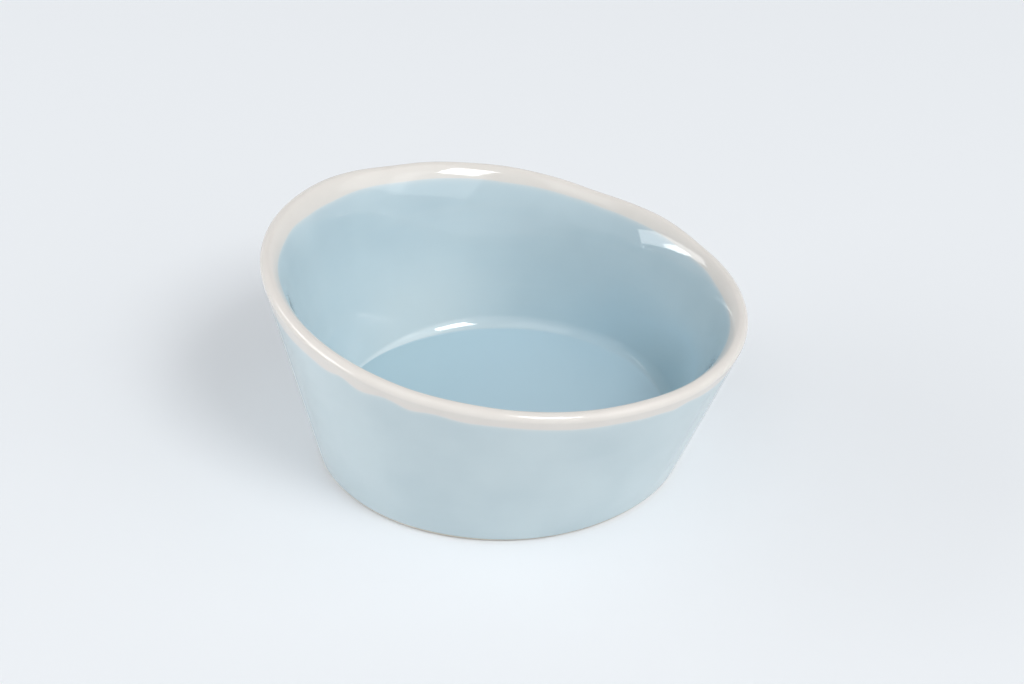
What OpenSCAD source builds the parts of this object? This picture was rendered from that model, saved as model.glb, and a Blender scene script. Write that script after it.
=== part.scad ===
// Hand-thrown porcelain prep bowl with a level foot and floor and a slanted, slightly uneven rim.
// The high side of the rim is at -X, the low side at +X, and the foot stands on Z = 0.
// Every surface is a stack of rings. Each ring takes one point from the upright section at each
// angle, and the section leans with the rim, so the wall keeps one thickness all the way round.
// The coats of glaze are made from the same rings as the clay, so they lie on it face to face.

/* [Bowl] */
// Diameter at which the outer line of the wall meets the table
foot_d = 98.5; // [85:0.5:112]
// Diameter of the finished rim
rim_d = 130; // [118:1:160]
// Height of the finished rim on its high side
high_side = 59.4; // [45:0.2:80]
// Height of the finished rim on its low side
low_side = 41.2; // [32:0.2:60]
// How far the rim's centre stands off the foot's axis, towards the low side
rim_shift = 1.2; // [0:0.1:4]

/* [Clay] */
// Thickness of the rounded lip without glaze
lip_t = 2.7; // [1.6:0.1:5]
// How much thicker the wall is than its lip
lip_taper = 1.6; // [0.5:0.1:2.5]
// Height over which the inner face bends out to the lip
taper_h = 10; // [7:0.5:14]
// How far the inner face leans out from the wall where it meets the lip, in degrees
lip_lean = 36; // [28:1:45]
// Thickness of the floor above the foot recess
floor_t = 5.2; // [2:0.1:8]
// Radius of the curve at the foot of the inner wall
curve_r = 7; // [4:0.5:10]
// Slope in degrees at which that curve ends, from 0 for upright to 90 for level
curve_turn = 52; // [40:1:75]
// Radius of the tighter fillet between that curve and the floor
floor_fillet = 2.2; // [1:0.1:3.5]

/* [Foot] */
// Width of the bare ring that the bowl stands on
foot_ring_w = 5.5; // [3:0.5:14]
// Depth of the recess inside the foot ring
foot_recess = 1.4; // [0.8:0.1:4]
// Radius of the rounded edges of the foot ring
foot_round = 0.8; // [0.3:0.1:2]
// Length of clay left bare along the wall above the foot
bare_clay = 1.1; // [0.8:0.1:4]

/* [Hand-made rim] */
// How far the rim is drawn out into an oval
rim_oval = 0.6; // [0:0.1:2]
// Direction of the oval's long axis in degrees
oval_angle = 100; // [0:5:180]
// How far the rim is drawn towards three corners
rim_corners = 0.3; // [0:0.1:1.5]
// Direction of the first of the three corners in degrees
corner_angle = 117; // [0:1:120]
// How far the rim's edge rises and falls twice on the way round
rim_wave = 0.6; // [0:0.1:2]
// Direction of the first rise in degrees
wave_angle = 155; // [0:5:180]

/* [Glaze] */
// Thickness of the blue glaze
blue_t = 0.45; // [0.2:0.05:0.8]
// Thickness of the clear glaze on the rim
clear_t = 0.35; // [0.2:0.05:0.8]
// How far the clear glaze reaches below the middle of the lip inside
inner_band = 2.7; // [2:0.1:8]
// How far the clear glaze reaches below the middle of the lip outside
outer_band = 2.7; // [2:0.1:8]
// How much further both bands reach on the high side than on average
band_tilt = 0.6; // [0:0.1:0.9]
// How far the dip lines waver up and down
band_waver = 0.5; // [0:0.1:0.9]
// Direction in degrees in which the inner band is deepest by its waver
inner_waver_angle = 160; // [0:5:180]
// Direction in degrees in which the outer band is deepest by its waver
outer_waver_angle = 10; // [0:5:180]

/* [Smoothness] */
// Number of sections round the bowl
sections = 72; // [36:12:96]
// Number of steps over the round of the lip
lip_steps = 9; // [6:1:12]
// Number of steps in the bend inside the lip, above and below the dip line
bend_steps = 4; // [3:1:5]
// Number of steps in the curve at the foot of the inner wall
curve_steps = 4; // [3:1:6]
// Number of steps in the fillet of the floor
fillet_steps = 3; // [2:1:5]

/* [Hidden] */

angles = [for (i = [0 : sections - 1]) 360 * i / sections];
foot_r = foot_d / 2;
recess_r = foot_r - foot_ring_w;
lip_r = lip_t / 2;
bend_top = -lip_r * sin(lip_lean);
bend_in = lip_taper + lip_r * (1 - cos(lip_lean));
bend_knee = bend_in / tan(lip_lean);
bend_foot = taper_h - bend_top - bend_knee;
floor_z = foot_recess + floor_t;
foot_steps = 3;
round_steps = 32;
recess_overcut = 1;
porcelain_colour = "#e6e1d8";
blue_colour = "#b4c8d1";
clear_colour = "#e4e1dc";

// Finished rim: its radius from the foot's axis and its height, at angle a
function rim_radius(a) = rim_d / 2 + rim_shift * cos(a)
    + rim_oval * cos(2 * (a - oval_angle)) + rim_corners * cos(3 * (a - corner_angle));
function rim_height(a) = (high_side + low_side) / 2 - (high_side - low_side) / 2 * cos(a)
    + rim_wave * cos(2 * (a - wave_angle));

// Upright section at angle a, as [radius, height]. The wall's outer face starts at the foot line and
// is tangent to the round of the lip, which sets how far it leans from the vertical.
function lip_centre(a) = [rim_radius(a), rim_height(a)] - (lip_r + clear_t) * [1, 1];
function foot_to_lip(a) = lip_centre(a) - [foot_r, 0];
function lean(a) = let (v = foot_to_lip(a)) atan2(v[0], v[1]) + asin(lip_r / norm(v));
function face_length(a) = sqrt(pow(norm(foot_to_lip(a)), 2) - lip_r * lip_r);
function upward(a) = [sin(lean(a)), cos(lean(a))];
function outward(a) = [cos(lean(a)), -sin(lean(a))];

// Points of the section. Each lies on the clay, or above it by the thickness of a coat.
// Inside, a parabola bends out from the straight wall to the round of the lip and is tangent to both.
// Its two tangents meet at its knee, bend_knee below its top and bend_foot above its end.
function from_lip(a, out, rise) = lip_centre(a) + out * outward(a) + rise * upward(a);
function outer_face(a, length, coat) = [foot_r, 0] + length * upward(a) + coat * outward(a);
function lip_round(a, part, coat) = let (turn = part * (180 - lip_lean))
    from_lip(a, (lip_r + coat) * cos(turn), (lip_r + coat) * sin(turn));
function bend_part(drop) = let (fall = min(drop, taper_h) - bend_top)
    fall / (bend_knee + sqrt(bend_knee * bend_knee + (bend_foot - bend_knee) * fall));
function bend_lean(part) = atan2(bend_in * (1 - part), bend_knee * (1 - part) + bend_foot * part);
function inner_face(a, drop, coat) =
    let (
        part = bend_part(drop),
        turn = bend_lean(part)
    )
    from_lip(a, bend_in * pow(1 - part, 2) - lip_r - lip_taper - coat * cos(turn), coat * sin(turn) - drop);

// The curve is tangent to the inner face, and the fillet to the curve and to the level floor
function curve_rise(a) =
    (curve_r - floor_fillet) * sin(curve_turn) + floor_fillet - curve_r * sin(lean(a));
function curve_drop(a) = taper_h
    + (inner_face(a, taper_h, 0)[1] - floor_z - curve_rise(a)) / cos(lean(a));
function on_arc(centre, radius, turn) = centre + radius * [cos(turn), -sin(turn)];
function curve_centre(a) = inner_face(a, curve_drop(a), curve_r);
function wall_curve(a, part, coat) =
    on_arc(curve_centre(a), curve_r - coat, lean(a) + part * (curve_turn - lean(a)));
function fillet_centre(a) = on_arc(curve_centre(a), curve_r - floor_fillet, curve_turn);
function floor_round(a, part, coat) =
    on_arc(fillet_centre(a), floor_fillet - coat, curve_turn + part * (90 - curve_turn));

// The foot's edge is tangent to the table and to the outer face
function foot_edge_rise(a) = foot_round * (1 - sin(lean(a))) / cos(lean(a));
function foot_edge(a, part) =
    on_arc(outer_face(a, foot_edge_rise(a), -foot_round), foot_round, 90 - part * (90 - lean(a)));

// Wavering dip lines between the clear and the blue glaze
function dip(a, band, waver_angle) =
    band - band_tilt * cos(a) + band_waver * cos(2 * (a - waver_angle));
function outer_dip(a) = face_length(a) - dip(a, outer_band, outer_waver_angle);
inner_dip = function(a) dip(a, inner_band, inner_waver_angle);
lip_end = function(a) bend_top;
bend_end = function(a) inner_dip(a) + taper_h;

// Rings: one point of the section at every angle
function ring(section) = [for (a = angles) let (p = section(a)) [p[0] * cos(a), p[0] * sin(a), p[1]]];
function reversed(rings) = [for (i = [len(rings) - 1 : -1 : 0]) rings[i]];

foot_rings = [for (i = [0 : foot_steps]) ring(function(a) foot_edge(a, i / foot_steps))];
function outer_rings(coat) = [
    ring(function(a) outer_face(a, bare_clay, coat)),
    ring(function(a) outer_face(a, outer_dip(a), coat))
];
function lip_rings(coat) = [for (i = [0 : lip_steps]) ring(function(a) lip_round(a, i / lip_steps, coat))];
function bend_ring(from, to, part, coat) =
    ring(function(a) inner_face(a, from(a) + part * (to(a) - from(a)), coat));
function upper_bend_rings(coat) =
    [for (i = [1 : bend_steps]) bend_ring(lip_end, inner_dip, i / bend_steps, coat)];
function lower_bend_rings(coat) =
    [for (i = [0 : bend_steps - 1]) bend_ring(inner_dip, bend_end, i / (bend_steps - 1), coat)];
function curve_rings(coat) =
    [for (i = [0 : curve_steps]) ring(function(a) wall_curve(a, i / curve_steps, coat))];
function floor_rings(coat) =
    [for (i = [1 : fillet_steps]) ring(function(a) floor_round(a, i / fillet_steps, coat))];

// The bands that a coat covers, from outside to inside
function rim_band(coat) = concat([outer_rings(coat)[1]], lip_rings(coat), upper_bend_rings(coat));
function inside_band(coat) = concat(lower_bend_rings(coat), curve_rings(coat), floor_rings(coat));

// Below the inner dip line the clay goes on from the last ring of the rim's band
clay_below_dip = [for (i = [1 : len(inside_band(0)) - 1]) inside_band(0)[i]];

// Solid through a stack of rings. It is closed by a flat end on the first and the last ring, or as a
// loop by joining the last ring to the first. Rings that run with the inside on the left are flipped.
module loft(rings, loop = false, flip = false) {
    count = len(rings);
    last = loop ? count - 1 : count - 2;
    sides = [
        for (i = [0 : last], j = [0 : sections - 1])
            let (
                low = i * sections,
                high = (i + 1) % count * sections,
                next = (j + 1) % sections
            )
            each [[low + j, high + j, high + next], [low + j, high + next, low + next]]
    ];
    first_end = [for (j = [0 : sections - 1]) j];
    last_end = [for (j = [sections - 1 : -1 : 0]) (count - 1) * sections + j];
    faces = loop ? sides : concat(sides, [first_end, last_end]);
    polyhedron(
        points = [for (one = rings) each one],
        faces = flip ? [for (f = faces) reversed(f)] : faces
    );
}

// Half section of what is turned out of the foot: the recess and the round of the ring's inner edge
module recess_section() {
    translate([0, -recess_overcut])
        square([recess_r, foot_recess + recess_overcut]);
    difference() {
        translate([0, -recess_overcut])
            square([recess_r + foot_round, foot_round + recess_overcut]);
        translate([recess_r + foot_round, foot_round])
            circle(r = foot_round, $fn = round_steps);
    }
}

// Thrown clay: foot, wall, lip and floor in one, with the recess turned out of the foot
module porcelain_body() {
    color(porcelain_colour)
        difference() {
            loft(concat(foot_rings, [outer_rings(0)[0]], rim_band(0), clay_below_dip));
            rotate_extrude($fn = sections)
                recess_section();
        }
}

// Blue coat on the floor and the inner wall
module inner_glaze() {
    color(blue_colour)
        loft(concat(reversed(inside_band(blue_t)), inside_band(0)), flip = true);
}

// Blue coat on the outer wall, from the bare clay to the outer dip line
module outer_glaze() {
    color(blue_colour)
        loft(concat(outer_rings(0), reversed(outer_rings(blue_t))), loop = true, flip = true);
}

// Clear coat over the lip, between the dip lines
module rim_glaze() {
    color(clear_colour)
        loft(concat(rim_band(0), reversed(rim_band(clear_t))), loop = true, flip = true);
}

// Blue coat on the ceiling of the foot recess
module foot_glaze() {
    color(blue_colour)
        translate([0, 0, foot_recess - blue_t])
            cylinder(r = recess_r, h = blue_t, $fn = sections);
}

porcelain_body();
inner_glaze();
outer_glaze();
rim_glaze();
foot_glaze();
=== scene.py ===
import bpy
import numpy as np
from mathutils import Matrix, Quaternion, Vector


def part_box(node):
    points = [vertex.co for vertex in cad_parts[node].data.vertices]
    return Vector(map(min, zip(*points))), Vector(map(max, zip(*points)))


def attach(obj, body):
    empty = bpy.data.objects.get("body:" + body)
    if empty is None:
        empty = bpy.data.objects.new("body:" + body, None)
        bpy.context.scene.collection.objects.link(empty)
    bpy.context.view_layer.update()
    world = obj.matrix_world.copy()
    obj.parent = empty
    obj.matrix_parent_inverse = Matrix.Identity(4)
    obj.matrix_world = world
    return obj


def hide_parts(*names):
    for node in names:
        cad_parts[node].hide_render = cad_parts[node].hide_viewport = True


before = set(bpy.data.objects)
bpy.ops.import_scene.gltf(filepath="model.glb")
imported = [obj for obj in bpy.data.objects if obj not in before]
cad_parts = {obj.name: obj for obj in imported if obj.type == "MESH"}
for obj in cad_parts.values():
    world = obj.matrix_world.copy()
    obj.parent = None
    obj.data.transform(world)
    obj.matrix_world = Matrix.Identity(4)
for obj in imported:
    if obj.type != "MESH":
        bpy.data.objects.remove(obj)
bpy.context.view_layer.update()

MM = 0.001

# Driving dimensions of the thrown form, the same as in the CAD model
foot_d = 98.5
rim_d = 130
high_side = 59.4
low_side = 41.2
rim_shift = 1.2
lip_t = 2.7
lip_taper = 1.6
taper_h = 10
lip_lean = 36
curve_r = 7
curve_turn = 52
floor_fillet = 2.2
foot_ring_w = 5.5
foot_round = 0.8
bare_clay = 1.1
rim_oval, oval_angle = 0.6, 100
rim_corners, corner_angle = 0.3, 117
rim_wave, wave_angle = 0.6, 155
inner_band, inner_waver_angle = 2.7, 160
outer_band, outer_waver_angle = 2.7, 10
band_tilt = 0.6
band_waver = 0.5

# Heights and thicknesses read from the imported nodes
foot_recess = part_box("foot_glaze")[1].z / MM
blue_t = foot_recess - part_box("foot_glaze")[0].z / MM
clear_t = (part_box("rim_glaze")[1].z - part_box("porcelain_body")[1].z) / MM
floor_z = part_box("inner_glaze")[0].z / MM

# Traces of the hand, each a soft swell at (direction, half width, amount). Those of the rim go out and up by
# shares of their amount, the drips move a dip line, and the rest tighten the corner at the left of the floor.
rim_swells = [
    (140, 9, 0.25), (119, 8, -0.5), (88, 9, 0.3), (65, 7, -0.45), (45, 8, 0.45),
    (29, 6, -0.2), (321, 7, -0.25), (303, 9, 0.4), (263, 8, 0.25), (249, 6, -0.2)
]
swell_out, swell_up = 0.5, 0.8
inner_drips = [
    (352, 14, -0.9), (24, 8, -0.45), (48, 7, 0.25), (66, 4, -0.25), (88, 6, 0.35), (123, 8, -0.25),
    (141, 6, 0.35), (163, 7, -0.6), (190, 20, -1.8)
]
outer_drips = [
    (212, 7, 0.3), (226, 4, 0.6), (232, 2.5, -0.8), (237, 3.5, 1.0), (244, 3, -0.7), (250, 2.5, 0.6),
    (256, 3, -0.4), (263, 4, 0.4), (287, 9, 0.3), (304, 5, 0.4), (312, 3, 0.6), (317, 3, -0.4),
    (328, 8, 0.5), (120, 6, 0.6), (60, 8, -0.4)
]
curve_swells = [(150, 28, -5), (195, 28, -3)]
fillet_swells = [(150, 28, -1.3), (195, 28, -0.6)]

# How the blue ran before it set: thinner at the foot of the back wall on the left and thicker on the right,
# below this share of the wall, and pooled on the floor, deepest at the left end. The deeper blue on the right
# wall is partly painted shade, and the floor's deepening towards its left end is painted shade.
wall_runs_and_shade = [(122, 28, -1.2), (40, 30, 1.2), (8, 20, 2)]
run_top = 0.3
pool_and_shade_right, pool_and_shade_left = 2, -34

# Edges of the blue: the runs over which it reaches its full thickness at a dip line, above the foot and in
# the recess, the share of it at which the coat ends above the foot, and the coat's rise against the foot ring
edge_run = 6
foot_edge_run, foot_edge_share = 0.9, 0.25
foot_waver, foot_waver_turn = 0.25, 40
pool_edge_run, pool_edge_rise = 1.5, 0.6

# Sections round each piece, and rings along the stretches of a section
sectors = 720
clay_flat_rings, coat_flat_rings = 4, 6
clay_lip_rings, coat_lip_rings = 24, 32
clay_curve_rings, coat_curve_rings = 12, 24
clay_fillet_rings, coat_fillet_rings = 8, 12
bend_rings = 16
edge_rings = 12
foot_rings = 6
foot_edge_rings = 8
angle = np.arange(sectors) * 360 / sectors

# Turn from face to face above which an edge is drawn sharp
sharp_turn = 40


def cosine(degrees):
    return np.cos(np.radians(degrees))


def sine(degrees):
    return np.sin(np.radians(degrees))


def swells(places):
    """Sum of soft swells round the bowl, each a bell curve at its direction."""
    total = np.zeros(sectors)
    for at, half_width, amount in places:
        away = (angle - at + 180) % 360 - 180
        total += amount * np.exp(-(away / half_width) ** 2)
    return total


def smooth(share):
    """Ease from 0 to 1."""
    share = np.clip(share, 0, 1)
    return share * share * (3 - 2 * share)


def steps(count):
    """Even shares from 0 to 1."""
    return np.linspace(0, 1, count + 1)


# What follows from the driving dimensions
foot_r = foot_d / 2
recess_r = foot_r - foot_ring_w
lip_r = lip_t / 2
lip_turn = np.radians(lip_lean)
bend_top = -lip_r * np.sin(lip_turn)
bend_in = lip_taper + lip_r * (1 - np.cos(lip_turn))
bend_knee = bend_in / np.tan(lip_turn)
bend_foot = taper_h - bend_top - bend_knee

# Finished rim, one value for each section
rim_radius = (rim_d / 2 + rim_shift * cosine(angle) + rim_oval * cosine(2 * (angle - oval_angle))
              + rim_corners * cosine(3 * (angle - corner_angle)) + swell_out * swells(rim_swells))
rim_height = ((high_side + low_side) / 2 - (high_side - low_side) / 2 * cosine(angle)
              + rim_wave * cosine(2 * (angle - wave_angle)) + swell_up * swells(rim_swells))

# The wall's outer face starts at the foot's edge on the table and is tangent to the round of the lip
lip_radius = rim_radius - lip_r - clear_t
lip_height = rim_height - lip_r - clear_t
reach = np.hypot(lip_radius - foot_r, lip_height)
lean = np.arctan2(lip_radius - foot_r, lip_height) + np.arcsin(lip_r / reach)
lean_sin, lean_cos = np.sin(lean), np.cos(lean)
face_length = np.sqrt(reach ** 2 - lip_r ** 2)

# Dip lines, as the drop below the middle of the lip inside and the length up the face outside, and the line
# above the foot where the blue begins
inner_dip = (inner_band - band_tilt * cosine(angle) + band_waver * cosine(2 * (angle - inner_waver_angle))
             + swells(inner_drips))
outer_dip = face_length - (outer_band - band_tilt * cosine(angle) + swells(outer_drips)
                           + band_waver * cosine(2 * (angle - outer_waver_angle)))
foot_line = bare_clay + foot_waver * (cosine(3 * angle + foot_waver_turn) + cosine(7 * angle)) / 2


def from_lip(out, rise):
    """Ring measured from the middle of the lip, outward from the wall and up along it."""
    return lip_radius + out * lean_cos + rise * lean_sin, lip_height - out * lean_sin + rise * lean_cos


def outer_face(length, coat):
    """Ring on the outer face, a length up from the table."""
    return foot_r + length * lean_sin + coat * lean_cos, length * lean_cos - coat * lean_sin


def lip_round(part, coat):
    """Ring on the round of the lip, from the outer face at 0 to the bend inside at 1."""
    turn = part * (np.pi - lip_turn)
    return from_lip((lip_r + coat) * np.cos(turn), (lip_r + coat) * np.sin(turn))


def inner_face(drop, coat):
    """Ring on the bend and the straight wall inside, a drop below the middle of the lip. The bend is a
    parabola, whose tangents at the lip and at the wall meet at its knee."""
    fall = np.minimum(drop, taper_h) - bend_top
    part = fall / (bend_knee + np.sqrt(bend_knee ** 2 + (bend_foot - bend_knee) * fall))
    turn = np.arctan2(bend_in * (1 - part), bend_knee * (1 - part) + bend_foot * part)
    return from_lip(bend_in * (1 - part) ** 2 - lip_r - lip_taper - coat * np.cos(turn),
                    coat * np.sin(turn) - drop)


# A curve is tangent to the inner face, and a tighter fillet to the curve and to the level floor
curve_end = np.radians(curve_turn)
curve_round = curve_r + swells(curve_swells)
fillet_round = floor_fillet + swells(fillet_swells)
wall_top = inner_face(taper_h, 0)[1]
curve_rise = (curve_round - fillet_round) * np.sin(curve_end) + fillet_round - curve_round * lean_sin
curve_drop = taper_h + (wall_top - floor_z - curve_rise) / lean_cos
curve_radius, curve_height = inner_face(curve_drop, curve_round)
fillet_radius = curve_radius + (curve_round - fillet_round) * np.cos(curve_end)


def wall_curve(part, coat):
    """Ring on the curve at the foot of the wall, from the wall at 0 to the fillet at 1."""
    turn = lean + part * (curve_end - lean)
    return (curve_radius + (curve_round - coat) * np.cos(turn),
            curve_height - (curve_round - coat) * np.sin(turn))


def floor_round(part, coat):
    """Ring on the fillet, from the curve at 0 to the floor at 1."""
    turn = curve_end + part * (np.pi / 2 - curve_end)
    return (fillet_radius + (fillet_round - coat) * np.cos(turn),
            floor_z + fillet_round - (fillet_round - coat) * np.sin(turn))


def floor_ring(part, coat):
    """Ring on the floor, from the fillet at 0 to the middle at 1."""
    return fillet_radius * (1 - part), np.full(sectors, floor_z + coat)


def foot_edge(part):
    """Ring on the outer edge of the foot, from the table at 0 to the outer face at 1."""
    rise = foot_round * (1 - lean_sin) / lean_cos
    turn = np.pi / 2 - part * (np.pi / 2 - lean)
    radius, height = outer_face(rise, -foot_round)
    return radius + foot_round * np.cos(turn), height - foot_round * np.sin(turn)


def level_ring(radius, height):
    return np.full(sectors, radius), np.full(sectors, height)


def blue_coat(run):
    """Thickness of the blue glaze at a distance from the dip line."""
    return clear_t + (blue_t - clear_t) * smooth(run / edge_run)


def put(name, data):
    """Object in the scene that holds a mesh, a camera or a lamp."""
    item = bpy.data.objects.new(name, data)
    bpy.context.scene.collection.objects.link(item)
    return item


def closed_mesh(name, rings, loop=False, **marks):
    """Piece whose skin runs through a stack of rings. A loop joins the last ring to the first, and
    otherwise a point in the middle of the first and of the last ring closes it. The marks give the material
    a value for each ring: glaze_edge is the distance from the edge of the glaze in millimetres, and the run
    mark goes from -1 where the glaze ran thin to 2 where the blue is deepest, which is partly painted shade."""
    count = len(rings)
    points = np.concatenate([np.column_stack((r * cosine(angle), r * sine(angle), z)) for r, z in rings])
    this = np.arange(sectors)
    after = np.roll(this, -1)
    faces = []
    for i in range(count if loop else count - 1):
        low, high = i * sectors, (i + 1) % count * sectors
        faces += np.column_stack((low + this, low + after, high + after, high + this)).tolist()
    if not loop:
        first, last, top = len(points), len(points) + 1, (count - 1) * sectors
        points = np.vstack((points, points[:sectors].mean(0), points[-sectors:].mean(0)))
        faces += np.column_stack((np.full(sectors, first), after, this)).tolist()
        faces += np.column_stack((np.full(sectors, last), top + this, top + after)).tolist()
    mesh = bpy.data.meshes.new(name)
    mesh.from_pydata((points * MM).tolist(), [], faces)
    mesh.shade_smooth()
    mesh.set_sharp_from_angle(angle=np.radians(sharp_turn))
    for mark, values in marks.items():
        values = np.concatenate(values)
        values = np.append(values, np.full(len(points) - len(values), values[-1]))
        attribute = mesh.attributes.new(mark, "FLOAT", "POINT")
        attribute.data.foreach_set("value", values.astype(np.float32))
    return put(name, mesh)


def make_porcelain_body():
    """Clay from the middle of the recess over the foot, up the wall, over the lip and down to the floor."""
    bend, wall = taper_h - bend_top, curve_drop - taper_h
    rings = [level_ring(recess_r * part, foot_recess) for part in steps(clay_flat_rings)[1:]]
    for turn in np.pi / 2 * steps(foot_rings):
        rings.append(level_ring(recess_r + foot_round * (1 - np.cos(turn)), foot_round * (1 - np.sin(turn))))
    rings += [foot_edge(part) for part in steps(foot_rings)]
    rings += [outer_face(foot_line + part * (face_length - foot_line), 0) for part in steps(clay_flat_rings)]
    rings += [lip_round(part, 0) for part in steps(clay_lip_rings)[1:]]
    rings += [inner_face(bend_top + part * bend, 0) for part in steps(bend_rings)[1:]]
    rings += [inner_face(taper_h + part * wall, 0) for part in steps(clay_flat_rings)[1:]]
    rings += [wall_curve(part, 0) for part in steps(clay_curve_rings)[1:]]
    rings += [floor_round(part, 0) for part in steps(clay_fillet_rings)[1:]]
    rings += [floor_ring(part, 0) for part in steps(clay_flat_rings)[1:-1]]
    return closed_mesh("thrown_porcelain_body", rings)


def make_rim_glaze():
    """Clear coat over the lip, between the two dip lines."""
    outside, inside = face_length - outer_dip, inner_dip - bend_top

    def layer(coat):
        rings = [outer_face(outer_dip + part * outside, coat) for part in steps(edge_rings)]
        rings += [lip_round(part, coat) for part in steps(coat_lip_rings)[1:]]
        rings += [inner_face(bend_top + part * inside, coat) for part in steps(bend_rings)[1:]]
        return rings

    edge = [part * outside for part in steps(edge_rings)]
    edge += [outside + part * (inside - outside) for part in steps(coat_lip_rings)[1:]]
    edge += [(1 - part) * inside for part in steps(bend_rings)[1:]]
    return closed_mesh("clear_rim_glaze", layer(clear_t) + layer(0)[::-1], loop=True,
                       glaze_edge=edge + edge[::-1])


def make_inner_glaze():
    """Blue coat from the inner dip line down the wall, round the fillet and over the floor."""
    drops = [inner_dip + edge_run * part for part in steps(edge_rings)]
    for end in (taper_h, curve_drop):
        start = drops[-1]
        drops += [start + part * (end - start) for part in steps(coat_flat_rings)[1:]]

    def layer(share):
        rings = [inner_face(drop, share * blue_coat(drop - inner_dip)) for drop in drops]
        rings += [wall_curve(part, share * blue_t) for part in steps(coat_curve_rings)[1:]]
        rings += [floor_round(part, share * blue_t) for part in steps(coat_fillet_rings)[1:]]
        rings += [floor_ring(part, share * blue_t) for part in steps(coat_flat_rings)[1:-1]]
        return rings

    clay, skin = layer(0), layer(1)
    edge = [drop - inner_dip for drop in drops]
    edge += [edge[-1]] * (len(skin) - len(edge))
    # Run marks: the deeper blue on the right wall is partly painted shade, and the pool's deepening towards
    # the left end of the floor is painted shade.
    wall_run_and_shade = swells(wall_runs_and_shade)
    run = [wall_run_and_shade * smooth((drop / curve_drop - run_top) / (1 - run_top)) for drop in drops]
    run += [wall_run_and_shade] * coat_curve_rings
    for i, (radius, _) in enumerate(skin[len(run):], start=1):
        pool = 1 + smooth((pool_and_shade_right - radius * cosine(angle)) / (pool_and_shade_right - pool_and_shade_left))
        run.append(wall_run_and_shade + smooth(i / coat_fillet_rings) * (pool - wall_run_and_shade))
    return closed_mesh("blue_inner_glaze", clay[::-1] + skin, glaze_edge=edge[::-1] + edge,
                       glaze_run=run[::-1] + run)


def make_outer_glaze():
    """Blue coat from the bare clay above the foot, where it rolls under, up to the outer dip line."""
    shoulder = outer_dip - edge_run
    lengths = [foot_line + foot_edge_run * part for part in steps(foot_edge_rings)]
    lengths += [lengths[-1] + part * (shoulder - lengths[-1]) for part in steps(coat_flat_rings)[1:]]
    lengths += [shoulder + edge_run * part for part in steps(edge_rings)[1:]]
    skin = []
    for length in lengths:
        roll = np.sqrt(1 - (1 - np.clip((length - foot_line) / foot_edge_run, 0, 1)) ** 2)
        share = foot_edge_share + (1 - foot_edge_share) * roll
        skin.append(outer_face(length, share * blue_coat(outer_dip - length)))
    clay = [outer_face(length, 0) for length in lengths]
    edge = [outer_dip - length for length in lengths]
    return closed_mesh("blue_outer_glaze", skin + clay[::-1], loop=True, glaze_edge=edge + edge[::-1])


def make_foot_glaze():
    """Blue pool on the ceiling of the recess, drawn thicker where it meets the ring."""
    middle = 1 - pool_edge_run / recess_r
    parts = [*(middle * steps(clay_flat_rings)[1:]), *(middle + (1 - middle) * steps(foot_edge_rings)[1:])]
    skin = []
    for part in parts:
        rise = pool_edge_rise * (1 - smooth((1 - part) * recess_r / pool_edge_run))
        skin.append(level_ring(recess_r * part, foot_recess - blue_t * (1 + rise)))
    clay = [level_ring(recess_r * part, foot_recess) for part in parts]
    edge = [np.full(sectors, recess_r * (1 - part)) for part in parts]
    return closed_mesh("blue_foot_glaze", skin + clay[::-1], glaze_edge=edge + edge[::-1])


# Colours of the fired surfaces. A run colour is reached from one value of glaze_run to the next, and the
# thin colours show along the edges of a glaze.
streak_colour = "#c8d5d9"
run_and_shade_colours = [(0, -1, "#c6d4d8"), (0, 1, "#b5ced9"), (1, 2, "#acc6d0")]
thin_blue = "#dcdddc"
pale_ivory, deep_ivory = "#e2ddd6", "#dbd5ce"
edge_grey_ivory = "#d6d8d5"
dark_clay, pale_clay = "#bdb6a9", "#dad4c9"

# Sizes of the patterns in them, and how far the edge of a glaze wavers
blue_cloud = 26
ivory_cloud = 9
clay_stain = 8
streak_length, streak_height = 90, 2.4
waver_size, waver_reach = 1.8, 0.3
peel_size = 5
grit_size, grit_depth = 0.5, 0.05

glaze_ior = 1.6
clay_ior = 1.5


def linear(code):
    """sRGB hex colour as linear red, green, blue and alpha."""
    srgb = np.array([int(code[i:i + 2], 16) for i in (1, 3, 5)]) / 255
    rgb = np.where(srgb <= 0.04045, srgb / 12.92, ((srgb + 0.055) / 1.055) ** 2.4)
    return (*rgb.tolist(), 1.0)


def every(size):
    """Noise scale of a pattern that repeats about every so many millimetres."""
    return 1 / (size * MM)


def empty_nodes(owner):
    """Node tree of a material or a world, with nothing in it."""
    owner.use_nodes = True
    owner.node_tree.nodes.clear()
    return owner.node_tree


def add(tree, kind, inputs=None, take=None, **settings):
    """Adds a node with its settings and returns its output take, or its first one. An input goes by its
    name or its number, and has a value or the output that feeds it."""
    node = tree.nodes.new(kind)
    for name, value in settings.items():
        setattr(node, name, value)
    sockets = [socket for socket in node.inputs if socket.enabled]
    for key, value in (inputs or {}).items():
        socket = sockets[key] if isinstance(key, int) else next(s for s in sockets if s.name == key)
        if isinstance(value, bpy.types.NodeSocket):
            tree.links.new(value, socket)
        else:
            socket.default_value = value
    outputs = [socket for socket in node.outputs if socket.enabled and take in (None, socket.name)]
    return outputs[0] if outputs else node


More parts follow.
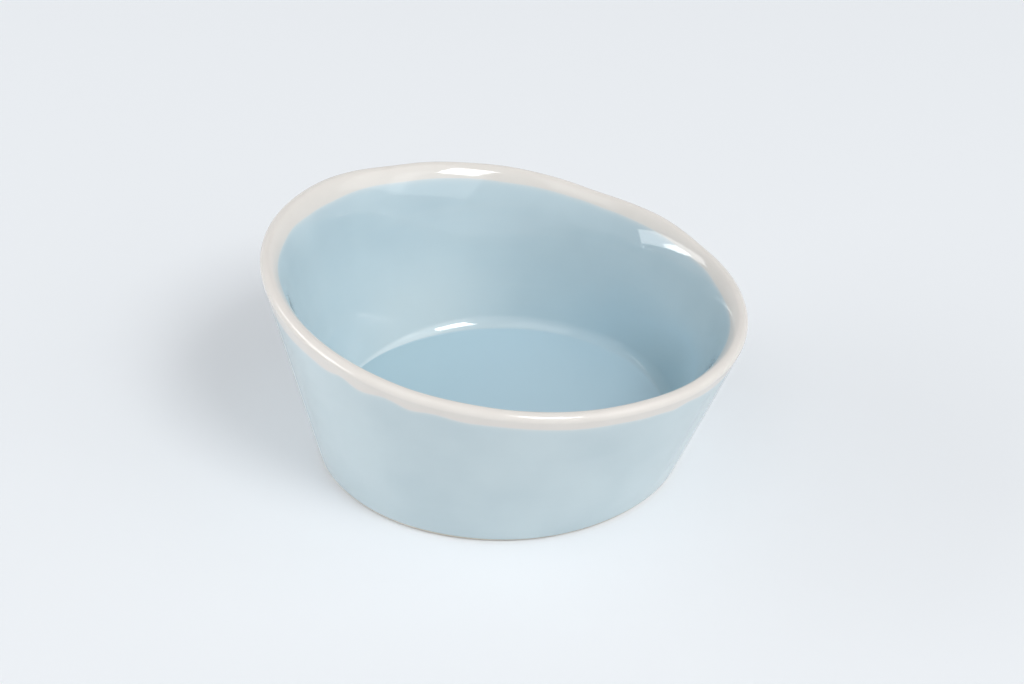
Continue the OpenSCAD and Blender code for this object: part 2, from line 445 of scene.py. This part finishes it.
def glaze_surface(tree, place, clouds, body, thin_colour, fade, gloss, peel_depth):
    """Fired glaze with a faint orange peel. Along its edge it takes on the thin colour, whose share falls by
    the factor fade with each millimetre, and its roughness goes through the range gloss with the clouds."""
    waver = add(tree, "ShaderNodeTexNoise", {"Vector": place, "Scale": every(waver_size), "Detail": 2.0})
    edge = add(tree, "ShaderNodeAttribute", take="Fac", attribute_name="glaze_edge")
    ragged = add(tree, "ShaderNodeMath", {0: waver, 1: waver_reach, 2: edge}, operation="MULTIPLY_ADD")
    thin = add(tree, "ShaderNodeMath", {0: fade, 1: ragged}, operation="POWER")
    colour = add(tree, "ShaderNodeMix", {"Factor": thin, "A": body, "B": linear(thin_colour)},
                 data_type="RGBA")
    rough = add(tree, "ShaderNodeMapRange", {"Value": clouds, "To Min": gloss[0], "To Max": gloss[1]})
    peel = add(tree, "ShaderNodeTexNoise", {"Vector": place, "Scale": every(peel_size), "Detail": 1.0})
    skin = add(tree, "ShaderNodeBump", {"Height": peel, "Strength": 1.0, "Distance": peel_depth * MM})
    shader = add(tree, "ShaderNodeBsdfPrincipled",
                 {"Base Color": colour, "Roughness": rough, "Normal": skin, "IOR": glaze_ior})
    add(tree, "ShaderNodeOutputMaterial", {"Surface": shader})


def blue_glaze_material(name, thick, thin):
    """Pale blue glaze, dipped and fired glossy on white porcelain. It gives the eye an even milky blue with
    soft clouds where it ran thicker, faint level streaks from the wheel and a thin, paler edge. Its run
    colours make it paler or deeper where the mesh marks a run, and the deeper blue on the right wall and at
    the left of the floor is partly painted shade."""
    material = bpy.data.materials.new(name)
    tree = empty_nodes(material)
    place = add(tree, "ShaderNodeTexCoord", take="Object")
    clouds = add(tree, "ShaderNodeTexNoise", {"Vector": place, "Scale": every(blue_cloud), "Detail": 2.0})
    cloudy = add(tree, "ShaderNodeMapRange", {"Value": clouds, "From Min": 0.35, "From Max": 0.65})
    pooled = add(tree, "ShaderNodeMix", {"Factor": cloudy, "A": linear(thick), "B": linear(thin)},
                 data_type="RGBA")

    grain = (every(streak_length), every(streak_length), every(streak_height))
    level = add(tree, "ShaderNodeMapping", {"Vector": place, "Scale": grain})
    streaks = add(tree, "ShaderNodeTexNoise", {"Vector": level, "Scale": 1.0, "Detail": 3.0})
    streaky = add(tree, "ShaderNodeMapRange",
                  {"Value": streaks, "From Min": 0.4, "From Max": 0.75, "To Max": 0.1})
    settled = add(tree, "ShaderNodeMix", {"Factor": streaky, "A": pooled, "B": linear(streak_colour)},
                  data_type="RGBA")

    # Run colours, paler where the glaze ran thin and deeper where it pooled; the deeper blue is partly
    # painted shade.
    run = add(tree, "ShaderNodeAttribute", take="Fac", attribute_name="glaze_run")
    for start, end, tint in run_and_shade_colours:
        run_and_shade_share = add(tree, "ShaderNodeMapRange", {"Value": run, "From Min": start, "From Max": end})
        settled = add(tree, "ShaderNodeMix", {"Factor": run_and_shade_share, "A": settled, "B": linear(tint)},
                      data_type="RGBA")
    glaze_surface(tree, place, clouds, settled, thin_blue, fade=0.15, gloss=(0.03, 0.07), peel_depth=0.004)
    return material


def rim_glaze_material():
    """Clear glaze, fired glossy on bare ivory porcelain. It gives the eye a warm white that turns a little
    greyer along the dip lines."""
    material = bpy.data.materials.new("glossy_clear_glaze_on_ivory")
    tree = empty_nodes(material)
    place = add(tree, "ShaderNodeTexCoord", take="Object")
    clouds = add(tree, "ShaderNodeTexNoise", {"Vector": place, "Scale": every(ivory_cloud), "Detail": 3.0})
    ivory = add(tree, "ShaderNodeMix", {"Factor": clouds, "A": linear(pale_ivory), "B": linear(deep_ivory)},
                data_type="RGBA")
    glaze_surface(tree, place, clouds, ivory, edge_grey_ivory, fade=0.03, gloss=(0.05, 0.1), peel_depth=0.003)
    return material


def bare_clay_material():
    """Unglazed porcelain, fired and wiped. It gives the eye a dull grey-beige with fine sandy grit, drawn
    coarser than the real 0.1 mm grains so that it shows."""
    material = bpy.data.materials.new("matte_bare_porcelain")
    tree = empty_nodes(material)
    place = add(tree, "ShaderNodeTexCoord", take="Object")
    stains = add(tree, "ShaderNodeTexNoise", {"Vector": place, "Scale": every(clay_stain), "Detail": 3.0})
    colour = add(tree, "ShaderNodeMix", {"Factor": stains, "A": linear(dark_clay), "B": linear(pale_clay)},
                 data_type="RGBA")
    grit = add(tree, "ShaderNodeTexNoise", {"Vector": place, "Scale": every(grit_size), "Detail": 2.0})
    rough = add(tree, "ShaderNodeMapRange", {"Value": grit, "To Min": 0.7, "To Max": 0.9})
    skin = add(tree, "ShaderNodeBump", {"Height": grit, "Strength": 1.0, "Distance": grit_depth * MM})
    shader = add(tree, "ShaderNodeBsdfPrincipled",
                 {"Base Color": colour, "Roughness": rough, "Normal": skin, "IOR": clay_ior})
    add(tree, "ShaderNodeOutputMaterial", {"Surface": shader})
    return material


def dress(piece, material, node):
    """Gives a piece its material, and its place in the frame."""
    piece.data.materials.append(material)
    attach(piece, "root")
    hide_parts(node)


# The outer glaze is the same blue drawn lighter and greyer than the inner one: painted light for the outer
# wall.
pooled_blue = blue_glaze_material("glossy_pale_blue_glaze_pooled", thick="#b6cad2", thin="#bdd0d7")
lightened_outer_blue = blue_glaze_material("glossy_pale_blue_glaze_lightened_outside", thick="#bacacf", thin="#c2d1d5")
dress(make_porcelain_body(), bare_clay_material(), "porcelain_body")
dress(make_inner_glaze(), pooled_blue, "inner_glaze")
dress(make_outer_glaze(), lightened_outer_blue, "outer_glaze")
dress(make_rim_glaze(), rim_glaze_material(), "rim_glaze")
dress(make_foot_glaze(), pooled_blue, "foot_glaze")

# Camera at the photograph's viewing angle
camera_back = 550.5
camera_height = 368.2
camera_aim = (3.25, 2.3, 28.7)
camera_roll = 0.31
focal_length = 84.4

# Studio: a matt white table under a pale dome of light. Each soft box is a shape, a direction from the bowl,
# a rise, a distance, a width, a height, a radiance and sometimes a turn about the line to the bowl.
table_size = 8000
table_gap = 0.02
table_colour = "#eef1f4"
table_glow = 0.27
dome_colour = "#f7faff"
dome_strength = 0.36
soft_boxes = {
    "key_light": ("RECTANGLE", 307.5, 47, 4000, 1300, 1380, 12.5),
    "front_fill": ("RECTANGLE", 316, 26, 4000, 3300, 2200, 0.88),
    "right_fill": ("RECTANGLE", 350, 38, 3500, 2500, 3300, 0.88),
    "ceiling": ("RECTANGLE", 235, 60, 3500, 1800, 1800, 0.88),
    "left_window": ("RECTANGLE", 175, 25.5, 1800, 1480, 380, 3.4, -12),
    "left_lamp": ("ELLIPSE", 173, 22.3, 1700, 560, 150, 6.6, -14),
    "low_window": ("ELLIPSE", 195, 6.5, 1800, 1000, 400, 7.5),
}


def place_camera():
    data = bpy.data.cameras.new("camera")
    data.lens = focal_length
    camera = put("camera", data)
    spot = Vector((0, -camera_back, camera_height)) * MM
    turn = (Vector(camera_aim) * MM - spot).to_track_quat("-Z", "Y").to_matrix().to_4x4()
    camera.matrix_world = Matrix.Translation(spot) @ turn @ Matrix.Rotation(np.radians(camera_roll), 4, "Z")
    bpy.context.scene.camera = camera


def soft_box(name, shape, direction, rise, distance, width, height, radiance, turn=0):
    """Lamp that faces the bowl. Its radiance is given in units of a white surface under full light."""
    data = bpy.data.lights.new(name, "AREA")
    data.shape = shape
    data.size, data.size_y = width * MM, height * MM
    area = data.size * data.size_y * (np.pi / 4 if shape == "ELLIPSE" else 1)
    data.energy = radiance * np.pi * area
    lamp = put(name, data)
    level = cosine(rise)
    towards = Vector((level * cosine(direction), level * sine(direction), sine(rise)))
    lamp.location = towards * distance * MM
    facing = towards.to_track_quat("Z", "Y") @ Quaternion((0, 0, 1), np.radians(turn))
    lamp.rotation_euler = facing.to_euler()


def seen_directly(tree):
    """1 for what the camera sees, also in a reflection or through glass, and 0 for light on the bowl."""
    camera = add(tree, "ShaderNodeLightPath", take="Is Camera Ray")
    mirror = add(tree, "ShaderNodeLightPath", take="Is Glossy Ray")
    glass = add(tree, "ShaderNodeLightPath", take="Is Transmission Ray")
    either = add(tree, "ShaderNodeMath", {0: camera, 1: mirror}, operation="MAXIMUM")
    return add(tree, "ShaderNodeMath", {0: either, 1: glass}, operation="MAXIMUM")


def lay_table():
    """Matt white table, wide enough to fill the view. It lies a hair below the foot, so that the two never
    share a face."""
    half, top = table_size * MM / 2, -table_gap * MM
    corners = [(-half, -half, top), (half, -half, top), (half, half, top), (-half, half, top)]
    mesh = bpy.data.meshes.new("table")
    mesh.from_pydata(corners, [], [(0, 1, 2, 3)])
    table = put("table", mesh)
    material = bpy.data.materials.new("matt_white_table")
    tree = empty_nodes(material)
    matt = add(tree, "ShaderNodeBsdfDiffuse", {"Color": linear(table_colour)})
    pale = add(tree, "ShaderNodeEmission", {"Color": linear(table_colour), "Strength": 1.0})
    share = add(tree, "ShaderNodeMath", {0: seen_directly(tree), 1: table_glow}, operation="MULTIPLY")
    shader = add(tree, "ShaderNodeMixShader", {0: share, 1: matt, 2: pale})
    add(tree, "ShaderNodeOutputMaterial", {"Surface": shader})
    mesh.materials.append(material)


def light_dome():
    """Even light from all round. The camera and the reflections see it as the pale background."""
    world = bpy.data.worlds.new("studio")
    bpy.context.scene.world = world
    tree = empty_nodes(world)
    light = add(tree, "ShaderNodeBackground", {"Color": linear(dome_colour), "Strength": dome_strength})
    pale = add(tree, "ShaderNodeBackground", {"Color": linear(table_colour), "Strength": 1.0})
    mixed = add(tree, "ShaderNodeMixShader", {0: seen_directly(tree), 1: light, 2: pale})
    add(tree, "ShaderNodeOutputWorld", {"Surface": mixed})


bpy.context.scene.view_settings.view_transform = "Standard"
place_camera()
lay_table()
light_dome()
for name, values in soft_boxes.items():
    soft_box(name, *values)
